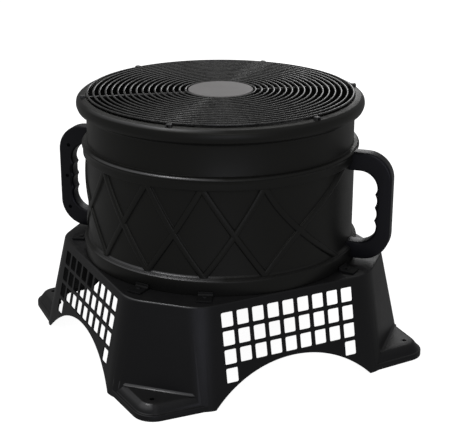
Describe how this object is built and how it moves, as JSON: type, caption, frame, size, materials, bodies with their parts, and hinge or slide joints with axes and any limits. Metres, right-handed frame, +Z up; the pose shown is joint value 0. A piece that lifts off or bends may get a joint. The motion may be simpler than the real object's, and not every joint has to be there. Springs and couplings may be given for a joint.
{
  "type": "air dancer blower",
  "caption": "Portable blower for an inflatable air dancer: round ribbed black drum with a wire grille on top, side handles and a flared square base with vent grids and arches.",
  "frame": {"origin": "middle of the square base's footprint, at floor level", "axes": "+Z up along the drum's axis; -Y towards the vented side at the right of the picture, -X towards the one at its left; the handles stand on the diagonal from +X -Y to -X +Y"},
  "size_m": [0.5458, 0.5458, 0.4387],
  "materials": {
    "base_plastic": "satin moulded black, faint sheen on the edges",
    "drum_plastic": "satin moulded black",
    "handle_plastic": "satin moulded black, smoother than the drum",
    "wire": "dark grey painted wire, with a matt grey disc in the middle",
    "clip_steel": "black painted",
    "bracket_steel": "black painted",
    "motor_paint": "dark grey satin paint",
    "fan_plastic": "matt black",
    "gland_plastic": "matt black"
  },
  "bodies": {
    "blower": {"base": "base_plastic", "drum": "drum_plastic", "handle_right": "handle_plastic", "handle_left": "handle_plastic", "grille": "wire", "clip_1": "clip_steel", "clip_2": "clip_steel", "clip_3": "clip_steel", "clip_4": "clip_steel", "clip_5": "clip_steel", "clip_6": "clip_steel", "motor_cross": "bracket_steel", "motor": "motor_paint", "bracket_1": "bracket_steel", "bracket_2": "bracket_steel", "bracket_3": "bracket_steel", "bracket_4": "bracket_steel", "bracket_5": "bracket_steel", "bracket_6": "bracket_steel", "bracket_7": "bracket_steel", "bracket_8": "bracket_steel", "cable_gland": "gland_plastic"},
    "fan_wheel": {"fan": "fan_plastic"}
  },
  "joints": [
    {"name": "fan_spin", "type": "hinge", "parent": "blower", "child": "fan_wheel", "pos_m": [0, 0, 0.36], "axis": [0, 0, 1], "continuous": true}
  ]
}
